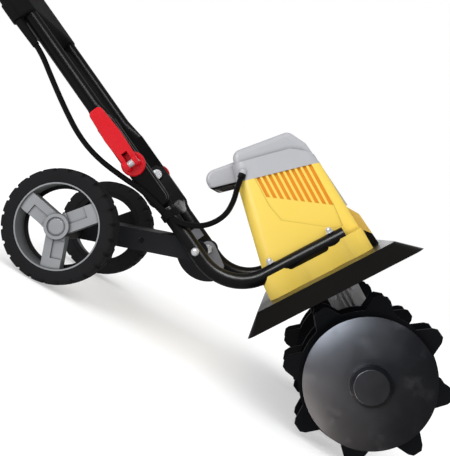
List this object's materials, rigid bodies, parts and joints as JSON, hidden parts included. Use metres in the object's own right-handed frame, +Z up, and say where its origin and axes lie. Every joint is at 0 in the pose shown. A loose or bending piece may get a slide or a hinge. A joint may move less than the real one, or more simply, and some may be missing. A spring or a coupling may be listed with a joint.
{
  "type": "electric tiller",
  "caption": "Electric garden tiller parked on raised transport wheels: hooded motor over a guarded star-tine rotor, with a fold-down handle held by cam levers.",
  "frame": {"origin": "bottom centre of the box round the parked machine, on the floor", "axes": "+X forward from the handle to the tines, +Y to the left of a user behind the machine, +Z up"},
  "size_m": [1.1174, 0.372, 0.5341],
  "materials": {
    "yellow_shell": "gloss moulded",
    "hood_grey": "satin moulded",
    "black_plastic": "matt",
    "black_tube": "gloss paint",
    "guard_paint": "satin paint",
    "tine_paint": "satin paint",
    "bracket_paint": "satin paint",
    "zinc": "zinc plated",
    "cast_alu": "as cast",
    "red_plastic": "gloss moulded",
    "tyre_rubber": "matt",
    "rim_silver": "silver moulded",
    "foam": "matt foam",
    "cable_rubber": "matt",
    "iron": "stamped",
    "copper": "enamelled wire",
    "steel": "ground",
    "bronze": "cut",
    "carbon": "matt"
  },
  "bodies": {
    "chassis": {"tine_guard": "guard_paint", "motor_housing": "yellow_shell", "motor_hood": "hood_grey", "intake_grille": "black_plastic", "outlet_grille": "black_plastic", "motor_stator": "iron", "field_coils": "copper", "motor_end_bracket": "black_plastic", "carbon_brushes": "carbon", "shaft_bearings": "steel", "gearbox_right": "cast_alu", "gearbox_left": "cast_alu", "gearbox_flange": "guard_paint", "gearbox_bolts": "zinc", "axle_bearings": "steel", "lower_tube_right": "black_tube", "lower_tube_left": "black_tube", "frame_bolts": "zinc", "pivot_strap": "zinc", "quadrant_plate": "bracket_paint", "cable_clip": "black_plastic", "motor_cable": "cable_rubber"},
    "armature": {"armature_shaft": "steel", "armature_core": "iron", "armature_winding": "copper", "commutator": "copper", "cooling_fan": "black_plastic", "worm": "steel"},
    "tine_rotor": {"worm_wheel": "bronze", "tine_star_1": "tine_paint", "tine_star_2": "tine_paint", "tine_star_3": "tine_paint", "tine_star_4": "tine_paint", "tine_shaft": "steel", "tine_pins": "zinc", "side_disc_right": "tine_paint", "side_disc_left": "tine_paint"},
    "wheel_arm": {"wheel_bracket": "bracket_paint", "wheel_axle": "zinc", "axle_nuts": "zinc"},
    "clamp": {"clamp_knob": "black_plastic"},
    "wheel_right": {"tyre_right": "tyre_rubber", "wheel_rim_right": "rim_silver", "hubcap_right": "rim_silver"},
    "wheel_left": {"tyre_left": "tyre_rubber", "wheel_rim_left": "rim_silver", "hubcap_left": "rim_silver"},
    "handle": {"upper_handle": "black_tube", "foam_grip": "foam", "cam_bolts": "zinc", "cup_washers": "red_plastic", "console_front": "black_plastic", "console_rear": "black_plastic", "switch_module": "carbon", "mains_inlet": "black_plastic", "cable_gland": "black_plastic"},
    "lever_right": {"cam_lever_right": "red_plastic"},
    "lever_left": {"cam_lever_left": "red_plastic"},
    "button": {"lock_button": "red_plastic"},
    "bail": {"bail_lever": "black_tube"}
  },
  "joints": [
    {"name": "tine_spin", "type": "hinge", "parent": "chassis", "child": "tine_rotor", "pos_m": [0.45194, 0, 0.10672], "axis": [0, 1, 0], "continuous": true},
    {"name": "armature_spin", "type": "hinge", "parent": "chassis", "child": "armature", "pos_m": [0.30044, 0, 0.24046], "axis": [-0.8369, 0, 0.5473], "continuous": true},
    {"name": "wheel_arm_swing", "type": "hinge", "parent": "chassis", "child": "wheel_arm", "pos_m": [0.17014, 0, 0.13814], "axis": [0, -1, 0], "range_deg": [0, 87]},
    {"name": "clamp_turn", "type": "hinge", "parent": "wheel_arm", "child": "clamp", "pos_m": [0.13025, 0.08, 0.12501], "axis": [0, 1, 0], "range_deg": [0, 270]},
    {"name": "wheel_right_spin", "type": "hinge", "parent": "wheel_arm", "child": "wheel_right", "pos_m": [-0.00654, -0.122, 0.08], "axis": [0, 1, 0], "continuous": true},
    {"name": "wheel_left_spin", "type": "hinge", "parent": "wheel_arm", "child": "wheel_left", "pos_m": [-0.00654, 0.122, 0.08], "axis": [0, 1, 0], "continuous": true},
    {"name": "handle_fold", "type": "hinge", "parent": "chassis", "child": "handle", "pos_m": [0.03458, 0, 0.20305], "axis": [0, 1, 0], "range_deg": [0, 110], "deforming": ["motor_cable"]},
    {"name": "cam_lever_right", "type": "hinge", "parent": "handle", "child": "lever_right", "pos_m": [0.03458, -0.11, 0.20305], "axis": [0.4318, 0, 0.9019], "range_deg": [0, 100]},
    {"name": "cam_lever_left", "type": "hinge", "parent": "handle", "child": "lever_left", "pos_m": [0.03458, 0.11, 0.20305], "axis": [-0.4318, 0, -0.9019], "range_deg": [0, 100]},
    {"name": "lock_press", "type": "slide", "parent": "handle", "child": "button", "axis": [-0.4318, 0, -0.9019], "range_m": [0, 0.005], "stiffness_N_per_m": 400, "springref_m": -0.005},
    {"name": "bail_press", "type": "hinge", "parent": "handle", "child": "bail", "pos_m": [-0.326, 0, 0.3901], "axis": [0, -1, 0], "range_deg": [0, 20], "stiffness_Nm_per_rad": 0.6, "springref_deg": -34.38}
  ],
  "couplings": [
    {"joint": "armature_spin", "follows": "tine_spin", "ratio": 28}
  ]
}
